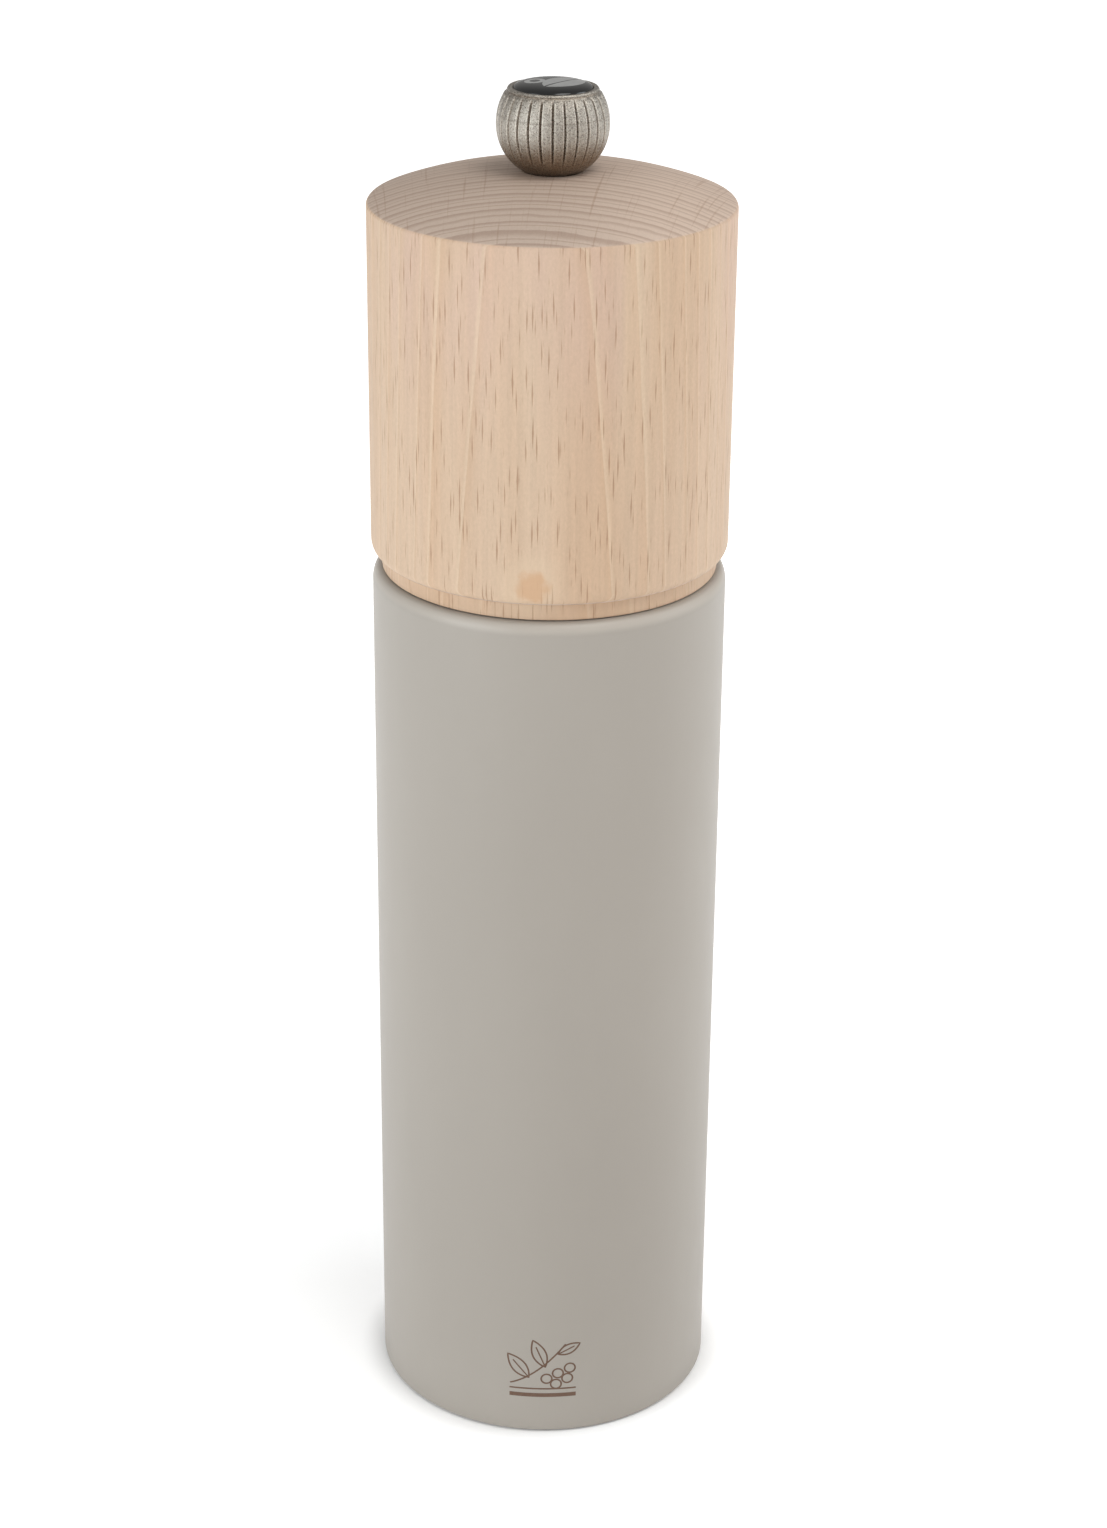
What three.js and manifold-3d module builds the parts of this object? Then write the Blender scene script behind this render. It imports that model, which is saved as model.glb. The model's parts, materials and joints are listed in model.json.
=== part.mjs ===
// Pepper mill: a lacquered beech body, a turned beech head, and a conical steel grinder on a square shaft.
// Millimetres, +Z up. The origin is the centre of the ring that the mill stands on.
// Pieces that touch keep a clearance of GAP, so that each one stays a separate solid.

import * as THREE from "three";
import { mergeVertices } from "three/addons/utils/BufferGeometryUtils.js";
import Module from "manifold-3d";

const wasm = await Module();
wasm.setup();

// ---- Driving dimensions ----

const MILL_HEIGHT = 210;
const GAP = 0.3;
const ROUND_SEGMENTS = 48;
const SMALL_SEGMENTS = 12;

const BODY_RADIUS = 26.4;
const BODY_HEIGHT = 138.2;
const LIP_WIDTH = 1.5;
const LIP_DROP = 2.2;
const BASE_EDGE = 0.6;

const HEAD_RADIUS = 26.6;
const HEAD_UNDERSIDE = 140.9;
const HEAD_RIM = 193.2;
const HEAD_CROWN = 4.2;
const HEAD_DOME_POWER = 2.4;
const HEAD_TOP_EDGE = 0.5;
const HEAD_ROUND_WIDTH = 1.3;
const HEAD_ROUND_HEIGHT = 1.6;
const NECK_RADIUS = 25;

const SOCKET_RADIUS = 19;
const SOCKET_FLOOR = 124;
const RESERVOIR_RADIUS = 14;
const GRINDER_BORE_RADIUS = 16;
const GRINDER_BORE_TOP = 37;
const RECESS_RADIUS = 21.3;
const RECESS_TOP = 9;

const SHAFT_SIDE = 5.5;
const SHAFT_BOTTOM = 5.3;
const SHAFT_SQUARE_TOP = 187.5;
const SHAFT_TOP = 203.6;
const THREAD_RADIUS = 2.5;
const SHAFT_PIN_RADIUS = 2;
const SHAFT_BORE_RADIUS = 4.4;
const SHAFT_BORE_TOP = 190;

const ROTOR_BOTTOM = 7.6;
const ROTOR_SHOULDER = 12.6;
const ROTOR_TOP = 18.2;
const BURR_SLOPE = 0.275;
const STATOR_TIP_RADIUS = 11.9;
const STATOR_TOP = 20.6;
const STATOR_CONE_TOP = 17;
const STATOR_TOOTH = 0.7;
const STATOR_TEETH = 24;
const BURR_CLEARANCE = 0.7;
const ROTOR_TOOTH = 0.5;
const ROTOR_TEETH = 30;
const FEEDER_BLADES = 6;

const SPRING_RADIUS = 5.2;
const SPRING_WIRE_RADIUS = 0.5;
const SPRING_TURNS = 7;
const WASHER_THICKNESS = 0.8;
const WASHER_RADIUS = 6.4;
const SHAFT_CLEAR_RADIUS = 4.3;

const SHEET_THICKNESS = 1.3;
const PLATE_HOLE_RADIUS = 13.4;
const PLATE_SCREW_CIRCLE = 18.6;
const DRIVE_PLATE_RADIUS = 14;
const DRIVE_SCREW_CIRCLE = 10.5;
const SCREWS = 3;

const KNOB_RADIUS = 8.13;
const KNOB_CENTRE = 204.1;
const KNOB_BOTTOM = 196.9;
const DISH_RADIUS = 5;
const DISH_FLOOR_RADIUS = 4.6;
const KNOB_RING_TOP = 209.3;
const KNOB_FLUTES = 28;
const FLUTE_DEPTH = 0.25;
const BADGE_RADIUS = 5.65;
const BADGE_EDGE = 208.9;
const BADGE_SEAT = 208.2;
const INSERT_RADIUS = 3.7;
const INSERT_TOP = 206.2;
const INSERT_HOLE_TOP = 205.2;

const FULL_TURN = 2 * Math.PI;

// ---- Shape helpers ----

// Points along an elliptical arc in the plane of a turned outline, as [radius, height] pairs.
function arc(centre, radii, fromDegrees, toDegrees, steps) {
  const points = [];
  for (let i = 0; i <= steps; i++) {
    const angle = THREE.MathUtils.degToRad(fromDegrees + ((toDegrees - fromDegrees) * i) / steps);
    points.push([centre[0] + radii[0] * Math.cos(angle), centre[1] + radii[1] * Math.sin(angle)]);
  }
  return points;
}

// A piece turned about Z from [radius, height] pairs that run up the outside and down the inside.
function turned(outline, segments = ROUND_SEGMENTS) {
  const points = outline.map(([radius, height]) => new THREE.Vector2(radius, height));
  if (outline[0][0] > 0) {
    points.push(points[0].clone());
  }
  return new THREE.LatheGeometry(points, segments).rotateX(Math.PI / 2);
}

function disc(radius, bottom, top, segments = ROUND_SEGMENTS) {
  const outline = [[0, bottom], [radius, bottom], [radius, top], [0, top]];
  return turned(outline, segments);
}

function ring(innerRadius, outerRadius, bottom, top, segments = ROUND_SEGMENTS) {
  const outline = [[innerRadius, bottom], [outerRadius, bottom], [outerRadius, top], [innerRadius, top]];
  return turned(outline, segments);
}

function block(sizeX, sizeY, bottom, top) {
  return new THREE.BoxGeometry(sizeX, sizeY, top - bottom).translate(0, 0, (bottom + top) / 2);
}

// Turns a closed geometry into a solid that can be joined and cut.
function solid(geometry) {
  const bare = geometry.clone();
  bare.deleteAttribute("normal");
  bare.deleteAttribute("uv");
  const merged = mergeVertices(bare, 1e-4);
  const corners = merged.index.array;
  const triangles = [];
  for (let i = 0; i < corners.length; i += 3) {
    const [a, b, c] = [corners[i], corners[i + 1], corners[i + 2]];
    if (a !== b && b !== c && c !== a) {
      triangles.push(a, b, c);
    }
  }
  const mesh = new wasm.Mesh({
    numProp: 3,
    vertProperties: new Float32Array(merged.attributes.position.array),
    triVerts: new Uint32Array(triangles),
  });
  return new wasm.Manifold(mesh);
}

function geometryOf(manifold) {
  const mesh = manifold.getMesh();
  const geometry = new THREE.BufferGeometry();
  geometry.setAttribute("position", new THREE.BufferAttribute(mesh.vertProperties, 3));
  geometry.setIndex(new THREE.BufferAttribute(mesh.triVerts, 1));
  geometry.computeVertexNormals();
  return geometry;
}

function joined(...geometries) {
  return geometryOf(geometries.map(solid).reduce((sum, piece) => sum.add(piece)));
}

function cut(geometry, ...cutters) {
  return geometryOf(cutters.map(solid).reduce((rest, cutter) => rest.subtract(cutter), solid(geometry)));
}

// Copies of one geometry spaced evenly about Z.
function aroundAxis(geometry, count) {
  return Array.from({ length: count }, (_, i) => geometry.clone().rotateZ((FULL_TURN * i) / count));
}

// A toothed section: each tooth is a tip and a root, or a flat tip and a flat root when blunt.
function toothedShape(teeth, tipRadius, rootRadius, blunt) {
  const shape = new THREE.Shape();
  const offsets = blunt ? [0, 0.35, 0.5, 0.85] : [0, 0.5];
  for (let tooth = 0; tooth < teeth; tooth++) {
    offsets.forEach((offset, i) => {
      const radius = i < offsets.length / 2 ? tipRadius : rootRadius;
      const angle = (FULL_TURN * (tooth + offset)) / teeth;
      const point = [radius * Math.cos(angle), radius * Math.sin(angle)];
      if (tooth === 0 && i === 0) {
        shape.moveTo(...point);
      } else {
        shape.lineTo(...point);
      }
    });
  }
  shape.closePath();
  return shape;
}

// Extrudes a toothed section upwards while it tapers to topScale and turns by twistDegrees.
function toothedCone(shape, bottom, top, topScale, twistDegrees, steps) {
  const height = top - bottom;
  const geometry = new THREE.ExtrudeGeometry(shape, { depth: height, steps, bevelEnabled: false });
  const position = geometry.attributes.position;
  const twist = THREE.MathUtils.degToRad(twistDegrees);
  for (let i = 0; i < position.count; i++) {
    const share = position.getZ(i) / height;
    const scale = THREE.MathUtils.lerp(1, topScale, share);
    const cos = Math.cos(twist * share) * scale;
    const sin = Math.sin(twist * share) * scale;
    const [x, y] = [position.getX(i), position.getY(i)];
    position.setXY(i, x * cos - y * sin, x * sin + y * cos);
  }
  return geometry.translate(0, 0, bottom);
}

// A pan-head screw with a slot, its head's rim at z = 0 and its shank pointing up.
function screw(headRadius, headHeight, shankRadius, length) {
  const outline = [
    [0, -headHeight],
    [headRadius * 0.6, -headHeight],
    [headRadius, -headHeight * 0.5],
    [headRadius, 0],
    [shankRadius, 0],
    [shankRadius, length - shankRadius],
    [0, length],
  ];
  const slotDepth = headHeight * 0.5;
  const slot = block(headRadius * 2.4, shankRadius * 0.6, -headHeight - 1, -headHeight + slotDepth);
  return cut(turned(outline, SMALL_SEGMENTS), slot);
}

// A hole cutter parallel to Z, off the axis.
function drill(circleRadius, holeRadius, bottom, top) {
  return disc(holeRadius, bottom, top, SMALL_SEGMENTS).translate(circleRadius, 0, 0);
}

// ---- Heights and radii that follow from the driving dimensions ----

const plateTop = RECESS_TOP - GAP;
const plateBottom = plateTop - SHEET_THICKNESS;
const bridgeBase = STATOR_TOP + GAP;
const bridgeTop = GRINDER_BORE_TOP - GAP;
const crossbarBottom = bridgeTop - SHEET_THICKNESS;
const upperWasherTop = crossbarBottom - GAP;
const springTop = upperWasherTop - WASHER_THICKNESS - GAP;
const springCupBottom = ROTOR_TOP + GAP;
const springBottom = springCupBottom + WASHER_THICKNESS + GAP;
const neckBottom = BODY_HEIGHT + GAP;
const spigotBottom = 129.3;
const spigotRadius = SOCKET_RADIUS - 2 * GAP;
const drivePlateTop = spigotBottom - GAP;
const drivePlateBottom = drivePlateTop - SHEET_THICKNESS;
const dishFloor = KNOB_BOTTOM - GAP;
const squareHole = SHAFT_SIDE + 2 * GAP;
const plateScrewShank = 1.1;
const drivePlateScrewShank = 1;

// ---- Body ----

function bodyCasing() {
  const lipRadius = BODY_RADIUS - LIP_WIDTH;
  const lipStart = BODY_HEIGHT - LIP_DROP;
  const outline = [
    [BODY_RADIUS - BASE_EDGE, 0],
    [BODY_RADIUS, BASE_EDGE],
    ...arc([lipRadius, lipStart], [LIP_WIDTH, LIP_DROP], 0, 90, 5),
    [SOCKET_RADIUS, BODY_HEIGHT],
    [SOCKET_RADIUS, SOCKET_FLOOR],
    [RESERVOIR_RADIUS, SOCKET_FLOOR],
    [RESERVOIR_RADIUS, GRINDER_BORE_TOP],
    [GRINDER_BORE_RADIUS, GRINDER_BORE_TOP],
    [GRINDER_BORE_RADIUS, RECESS_TOP],
    [RECESS_RADIUS, RECESS_TOP],
    [RECESS_RADIUS, 0],
  ];
  const pilot = drill(PLATE_SCREW_CIRCLE, plateScrewShank + GAP, RECESS_TOP - 1, RECESS_TOP + 9);
  return cut(turned(outline), ...aroundAxis(pilot, SCREWS));
}

// The fixed burr: a ring whose bore widens downwards and has slanted teeth, with a funnel at the top.
function statorRing() {
  const blank = ring(RESERVOIR_RADIUS / 2, GRINDER_BORE_RADIUS - GAP, RECESS_TOP, STATOR_TOP);
  const margin = 1;
  const bottom = RECESS_TOP - margin;
  const tipBottom = STATOR_TIP_RADIUS + margin * BURR_SLOPE;
  const tipTop = STATOR_TIP_RADIUS - (STATOR_TOP + margin - RECESS_TOP) * BURR_SLOPE;
  const section = toothedShape(STATOR_TEETH, tipBottom + STATOR_TOOTH, tipBottom, false);
  const toothedBore = toothedCone(section, bottom, STATOR_TOP + margin, tipTop / tipBottom, -20, 3);
  const mouth = STATOR_TOP + 0.1;
  const funnel = turned([[0, STATOR_CONE_TOP], [9.4, STATOR_CONE_TOP], [13.8, mouth], [0, mouth]]);
  return cut(blank, toothedBore, funnel);
}

function retainingPlate() {
  const blank = ring(PLATE_HOLE_RADIUS, RECESS_RADIUS - GAP, plateBottom, plateTop);
  const hole = drill(PLATE_SCREW_CIRCLE, plateScrewShank + GAP, plateBottom - 1, plateTop + 1);
  return cut(blank, ...aroundAxis(hole, SCREWS));
}

// The stamped stirrup over the burrs: it guides the shaft and takes the spring's thrust.
function shaftBridge() {
  const legWidth = 6;
  const legRadius = 14.2;
  const crossbarLength = 30.6;
  const foot = ring(13.2, GRINDER_BORE_RADIUS - GAP, bridgeBase, bridgeBase + SHEET_THICKNESS);
  const leg = block(legWidth, SHEET_THICKNESS, bridgeBase + 0.5, bridgeTop - 0.5).translate(0, legRadius, 0);
  const crossbar = block(legWidth, crossbarLength, crossbarBottom, bridgeTop);
  const hub = disc(WASHER_RADIUS, crossbarBottom, bridgeTop, 24);
  const shaftHole = disc(SHAFT_CLEAR_RADIUS, crossbarBottom - 1, bridgeTop + 1, 24);
  return cut(joined(foot, ...aroundAxis(leg, 2), crossbar, hub), shaftHole);
}

// ---- Spring core ----

function upperSpringWasher() {
  return ring(SHAFT_CLEAR_RADIUS, WASHER_RADIUS, upperWasherTop - WASHER_THICKNESS, upperWasherTop, 24);
}

// A compression spring with its first and last turn closed up.
class SpringPath extends THREE.Curve {
  getPoint(share, target = new THREE.Vector3()) {
    const low = springBottom + SPRING_WIRE_RADIUS;
    const high = springTop - SPRING_WIRE_RADIUS;
    const rise = THREE.MathUtils.lerp(share, THREE.MathUtils.smootherstep(share, 0, 1), 0.45);
    const angle = FULL_TURN * SPRING_TURNS * share;
    const height = THREE.MathUtils.lerp(low, high, rise);
    return target.set(SPRING_RADIUS * Math.cos(angle), SPRING_RADIUS * Math.sin(angle), height);
  }
}

function grinderSpring() {
  const wire = new THREE.Shape();
  wire.absarc(0, 0, SPRING_WIRE_RADIUS, 0, FULL_TURN);
  const settings = { steps: 12 * SPRING_TURNS, curveSegments: 4, extrudePath: new SpringPath() };
  return new THREE.ExtrudeGeometry(wire, settings);
}

// ---- Spindle ----

// Square shaft with a round threaded top for the knob and a round pin for the clip.
function driveShaft() {
  const square = block(SHAFT_SIDE, SHAFT_SIDE, ROTOR_BOTTOM, SHAFT_SQUARE_TOP);
  const thread = disc(THREAD_RADIUS, SHAFT_SQUARE_TOP - 1, SHAFT_TOP, 24);
  const pin = disc(SHAFT_PIN_RADIUS, SHAFT_BOTTOM, ROTOR_BOTTOM + 1, 24);
  return joined(square, thread, pin);
}

// The turning burr: fine teeth below, spiral blades above that draw the peppercorns in.
function rotor() {
  const tipAtRecess = STATOR_TIP_RADIUS - BURR_CLEARANCE;
  const tipBottom = tipAtRecess + (RECESS_TOP - ROTOR_BOTTOM) * BURR_SLOPE;
  const tipShoulder = tipAtRecess - (ROTOR_SHOULDER - RECESS_TOP) * BURR_SLOPE;
  const bladeTop = 6.2;
  const bladeRoot = 8.2;
  const fineSection = toothedShape(ROTOR_TEETH, tipBottom, tipBottom - ROTOR_TOOTH, false);
  const bladeSection = toothedShape(FEEDER_BLADES, tipShoulder, bladeRoot, true);
  const fineBurr = toothedCone(fineSection, ROTOR_BOTTOM, ROTOR_SHOULDER, tipShoulder / tipBottom, 12, 2);
  const feeder = toothedCone(bladeSection, ROTOR_SHOULDER - 0.5, ROTOR_TOP, bladeTop / tipShoulder, 50, 6);
  const hub = disc(bladeTop - 0.4, ROTOR_SHOULDER, ROTOR_TOP, 24);
  const shaftHole = block(squareHole, squareHole, ROTOR_BOTTOM - 1, ROTOR_TOP + 1);
  return cut(joined(fineBurr, feeder, hub), shaftHole);
}

function springCup() {
  const rimInside = SPRING_RADIUS + SPRING_WIRE_RADIUS + GAP;
  const floorTop = springCupBottom + WASHER_THICKNESS;
  const outline = [
    [SHAFT_CLEAR_RADIUS, springCupBottom],
    [rimInside + 0.5, springCupBottom],
    [rimInside + 0.5, floorTop + 1],
    [rimInside, floorTop + 1],
    [rimInside, floorTop],
    [SHAFT_CLEAR_RADIUS, floorTop],
  ];
  return turned(outline, 24);
}

// The C-shaped clip that holds the rotor up on the shaft's pin.
function shaftClip() {
  const top = ROTOR_BOTTOM - GAP;
  const bottom = top - 0.9;
  const opening = block(8, 2.4, bottom - 1, top + 1).translate(5, 0, 0);
  return cut(ring(SHAFT_PIN_RADIUS + GAP, 5.2, bottom, top, 24), opening);
}

// ---- Head ----

function headDome(radius) {
  const span = HEAD_RADIUS - HEAD_TOP_EDGE;
  return HEAD_RIM + HEAD_CROWN * (1 - (radius / span) ** HEAD_DOME_POWER);
}

function headBlock() {
  const roundCentre = [HEAD_RADIUS - HEAD_ROUND_WIDTH, HEAD_UNDERSIDE + HEAD_ROUND_HEIGHT];
  const edgeRadius = HEAD_RADIUS - HEAD_TOP_EDGE;
  const domeRadii = [edgeRadius, 23.5, 20, 15, 10, DISH_RADIUS];
  const threadHole = THREAD_RADIUS + GAP;
  const outline = [
    [SHAFT_BORE_RADIUS, spigotBottom],
    [spigotRadius - 0.8, spigotBottom],
    [spigotRadius, spigotBottom + 0.8],
    [spigotRadius, neckBottom],
    [NECK_RADIUS, neckBottom],
    [NECK_RADIUS, HEAD_UNDERSIDE],
    ...arc(roundCentre, [HEAD_ROUND_WIDTH, HEAD_ROUND_HEIGHT], -90, 0, 5),
    [HEAD_RADIUS, HEAD_RIM - HEAD_TOP_EDGE],
    ...domeRadii.map((radius) => [radius, headDome(radius)]),
    [DISH_FLOOR_RADIUS, dishFloor],
    [threadHole, dishFloor],
    [threadHole, SHAFT_BORE_TOP],
    [SHAFT_BORE_RADIUS, SHAFT_BORE_TOP],
  ];
  const pilotRadius = drivePlateScrewShank + GAP;
  const pilot = drill(DRIVE_SCREW_CIRCLE, pilotRadius, spigotBottom - 1, spigotBottom + 8);
  return cut(turned(outline), ...aroundAxis(pilot, SCREWS));
}

function drivePlate() {
  const blank = disc(DRIVE_PLATE_RADIUS, drivePlateBottom, drivePlateTop);
  const shaftHole = block(squareHole, squareHole, drivePlateBottom - 1, drivePlateTop + 1);
  const holeRadius = drivePlateScrewShank + GAP;
  const hole = drill(DRIVE_SCREW_CIRCLE, holeRadius, drivePlateBottom - 1, drivePlateTop + 1);
  return cut(blank, shaftHole, ...aroundAxis(hole, SCREWS));
}

// ---- Knob ----

// Angle, from the knob's centre, at which its ball reaches a given height.
function ballAngle(height) {
  return THREE.MathUtils.radToDeg(Math.asin((height - KNOB_CENTRE) / KNOB_RADIUS));
}

// A ball cut flat below and above, with upright flutes round its middle and a seat for the badge.
function knobBall() {
  const cavityRadius = INSERT_RADIUS + GAP;
  const cavityTop = INSERT_TOP + GAP;
  const radii = [KNOB_RADIUS, KNOB_RADIUS];
  const outline = [
    [0, KNOB_BOTTOM],
    ...arc([0, KNOB_CENTRE], radii, ballAngle(KNOB_BOTTOM), ballAngle(KNOB_RING_TOP), 12),
    [BADGE_RADIUS + GAP, KNOB_RING_TOP],
    [BADGE_RADIUS + GAP, BADGE_SEAT],
    [0, BADGE_SEAT],
  ];
  const ball = turned(outline, 2 * KNOB_FLUTES);
  const position = ball.attributes.position;
  for (let i = 0; i < position.count; i++) {
    const [x, y, z] = [position.getX(i), position.getY(i), position.getZ(i)];
    const column = Math.round((Math.atan2(y, x) * KNOB_FLUTES) / Math.PI);
    const radius = Math.hypot(x, y);
    const isFluted = Math.abs(column) % 2 === 1 && z > KNOB_BOTTOM + 0.8 && z < KNOB_RING_TOP - 0.8;
    if (isFluted && radius > BADGE_RADIUS + 2 * GAP) {
      const scale = (radius - FLUTE_DEPTH) / radius;
      position.setXY(i, x * scale, y * scale);
    }
  }
  return cut(ball, disc(cavityRadius, KNOB_BOTTOM - 1, cavityTop, 24));
}

// The threaded bush that is pressed into the ball.
function knobInsert() {
  const bottom = KNOB_BOTTOM + GAP;
  const outline = [
    [0, bottom],
    [INSERT_RADIUS, bottom],
    [INSERT_RADIUS, INSERT_TOP],
    [0, INSERT_TOP],
  ];
  return cut(turned(outline, 24), disc(THREAD_RADIUS + GAP, bottom - 1, INSERT_HOLE_TOP, 24));
}

function knobBadge() {
  const bottom = BADGE_SEAT + GAP;
  const rise = MILL_HEIGHT - BADGE_EDGE;
  const dome = arc([0, BADGE_EDGE], [BADGE_RADIUS, rise], 0, 90, 5);
  return turned([[0, bottom], [BADGE_RADIUS, bottom], ...dome], 32);
}

// ---- Materials ----

function finish(color, roughness, metalness) {
  return new THREE.MeshStandardMaterial({ color, roughness, metalness });
}

const lacquer = () => finish(0xb0a9a2, 0.55, 0);
const beech = () => finish(0xd8bfa4, 0.6, 0);
const steel = () => finish(0x9a9a9c, 0.35, 1);
const zincedSteel = () => finish(0xb4b2a8, 0.3, 1);
const aluminium = () => finish(0xc4c6c9, 0.35, 1);
const agedNickel = () => finish(0x8f8a82, 0.4, 1);
const brass = () => finish(0xb8923f, 0.35, 1);
const blackGloss = () => finish(0x121212, 0.12, 0);

// ---- Assembly ----

function piece(name, geometry, material) {
  const mesh = new THREE.Mesh(geometry, material);
  mesh.name = name;
  return mesh;
}

// Numbered screws evenly spaced on a circle, their head rims at a given height.
function screwCircle(name, geometry, circleRadius, height) {
  return Array.from({ length: SCREWS }, (_, i) => {
    const angle = (FULL_TURN * i) / SCREWS;
    const mesh = piece(`${name}_${i + 1}`, geometry, steel());
    mesh.position.set(circleRadius * Math.cos(angle), circleRadius * Math.sin(angle), height);
    mesh.rotation.z = angle + (i + 1) * 0.7;
    return mesh;
  });
}

const plateScrew = screw(2.2, 1.2, plateScrewShank, 9);
const drivePlateScrew = screw(2, 1.1, drivePlateScrewShank, 8);

const body = new THREE.Group();
body.add(
  piece("body_casing", bodyCasing(), lacquer()),
  piece("stator_ring", statorRing(), steel()),
  piece("retaining_plate", retainingPlate(), zincedSteel()),
  piece("shaft_bridge", shaftBridge(), zincedSteel()),
  ...screwCircle("plate_screw", plateScrew, PLATE_SCREW_CIRCLE, plateBottom - GAP),
);

const springCore = new THREE.Group();
springCore.add(
  piece("upper_spring_washer", upperSpringWasher(), zincedSteel()),
  piece("grinder_spring", grinderSpring(), steel()),
);

const spindle = new THREE.Group();
spindle.add(
  piece("drive_shaft", driveShaft(), aluminium()),
  piece("rotor", rotor(), steel()),
  piece("spring_cup", springCup(), zincedSteel()),
  piece("shaft_clip", shaftClip(), steel()),
);

const knob = new THREE.Group();
knob.add(
  piece("knob_ball", knobBall(), agedNickel()),
  piece("knob_insert", knobInsert(), brass()),
  piece("knob_badge", knobBadge(), blackGloss()),
);

const head = new THREE.Group();
head.add(
  piece("head_block", headBlock(), beech()),
  piece("drive_plate", drivePlate(), zincedSteel()),
  ...screwCircle("drive_plate_screw", drivePlateScrew, DRIVE_SCREW_CIRCLE, drivePlateBottom - GAP),
  knob,
);

const mill = new THREE.Group();
mill.add(body, springCore, spindle, head);

export default mill;
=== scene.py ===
# The looks of the pepper mill: fine turned and toothed pieces around the CAD frame, each with a
# procedural material. Lengths are in millimetres, and become metres where meshes and places are made.
# The mill stands on z = 0 and its front faces -Y.

import json
import math

import bmesh
import bpy
from mathutils import Matrix, Vector


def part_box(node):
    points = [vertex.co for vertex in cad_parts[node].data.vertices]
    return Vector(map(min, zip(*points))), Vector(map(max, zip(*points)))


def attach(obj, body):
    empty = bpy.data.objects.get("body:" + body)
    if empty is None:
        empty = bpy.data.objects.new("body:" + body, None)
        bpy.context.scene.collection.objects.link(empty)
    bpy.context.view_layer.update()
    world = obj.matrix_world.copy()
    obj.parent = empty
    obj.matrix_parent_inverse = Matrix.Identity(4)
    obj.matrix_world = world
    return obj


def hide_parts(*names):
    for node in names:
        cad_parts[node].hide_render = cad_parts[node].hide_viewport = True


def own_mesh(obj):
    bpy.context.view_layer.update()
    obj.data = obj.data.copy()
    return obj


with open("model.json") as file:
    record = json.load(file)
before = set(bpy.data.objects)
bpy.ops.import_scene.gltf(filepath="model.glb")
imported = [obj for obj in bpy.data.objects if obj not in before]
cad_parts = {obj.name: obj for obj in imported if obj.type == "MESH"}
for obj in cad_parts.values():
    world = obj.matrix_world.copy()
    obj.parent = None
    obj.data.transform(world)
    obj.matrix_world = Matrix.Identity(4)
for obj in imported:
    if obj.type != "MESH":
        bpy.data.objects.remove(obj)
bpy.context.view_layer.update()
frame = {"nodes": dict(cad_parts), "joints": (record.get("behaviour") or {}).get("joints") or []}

MM = 0.001
FULL_TURN = 2 * math.pi
COLUMNS = 288

# ---- Dimensions taken from the frame ----


def node_box(node):
    """Lowest and highest corner of a CAD node, in millimetres."""
    low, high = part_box(node)
    return [v / MM for v in low], [v / MM for v in high]


def node_span(node):
    """Outer radius, bottom and top of a CAD node that is centred on the mill's axis."""
    low, high = node_box(node)
    return high[0], low[2], high[2]


BODY_RADIUS, _, BODY_TOP = node_span("body_casing")
HEAD_RADIUS, SPIGOT_BOTTOM, _ = node_span("head_block")
KNOB_RADIUS, KNOB_BOTTOM, _ = node_span("knob_ball")
BADGE_RADIUS, BADGE_BOTTOM, MILL_TOP = node_span("knob_badge")
STATOR_RADIUS, STATOR_BOTTOM, STATOR_TOP = node_span("stator_ring")
_, ROTOR_BOTTOM, ROTOR_TOP = node_span("rotor")
_, SHAFT_BOTTOM, SHAFT_TOP = node_span("drive_shaft")
SPRING_OUTSIDE, SPRING_BOTTOM, SPRING_TOP = node_span("grinder_spring")

# ---- Dimensions of the finer shapes ----

LIP_WIDTH = 1.5
LIP_DROP = 2.2
BASE_EDGE = 0.6
SOCKET_RADIUS = 19.0
SOCKET_FLOOR = 124.0
RESERVOIR_RADIUS = 14.0
GRINDER_BORE_RADIUS = 16.0
GRINDER_BORE_TOP = 37.0
RECESS_RADIUS = 21.3
RECESS_TOP = 9.0

HEAD_UNDERSIDE = 140.9
HEAD_RIM = 193.2
HEAD_CROWN = 4.2
DOME_POWER = 2.4
HEAD_TOP_EDGE = 0.8
HEAD_ROUND_WIDTH = 1.3
HEAD_ROUND_HEIGHT = 1.6
NECK_RADIUS = 25.0
NECK_BOTTOM = BODY_TOP + 0.12
SPIGOT_RADIUS = 18.4
DISH_RADIUS = 4.4
DISH_FLOOR_RADIUS = 4.3
DISH_FLOOR = KNOB_BOTTOM - 0.3
SHAFT_BORE_RADIUS = 4.4
SHAFT_BORE_TOP = 190.0
SHAFT_CLEAR_RADIUS = 4.3
THREAD_HOLE_RADIUS = 2.8

BURR_SLOPE = 0.275
PLATE_SCREW_HEAD = 1.2
DRIVE_SCREW_HEAD = 1.1

KNOB_CENTRE = 204.1
KNOB_FOOT = KNOB_BOTTOM + 0.18
KNOB_BORE = 3.76
KNOB_BORE_TOP = 206.5
FOOT_TAPER = 0.28
FOOT_TAPER_TOP = 199.4
FOOT_TAPER_HEIGHT = 2.3
KNOB_FLUTES = 28
FLUTE_BOTTOM = KNOB_BOTTOM + 1.6
FLUTE_TOP = 208.60
FLUTE_RUN_OUT = 2.0
LAND_ROUNDING = 0.35
CASTING_SEAM = 205.5
BEAD_BOTTOM = 208.80
BEAD_TOP = 209.15
BADGE_SEAT = 208.2
BADGE_EDGE = 209.02

MARK_BOTTOM = 6.8
MARK_HALF_WIDTH = 5.3
MARK_LINE = 0.26
MARK_BAR = 0.7
MARK_STEP = 0.5
MARK_SUNK = 0.03
MARK_RAISED = 0.02

# ---- Outlines and meshes ----


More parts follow.
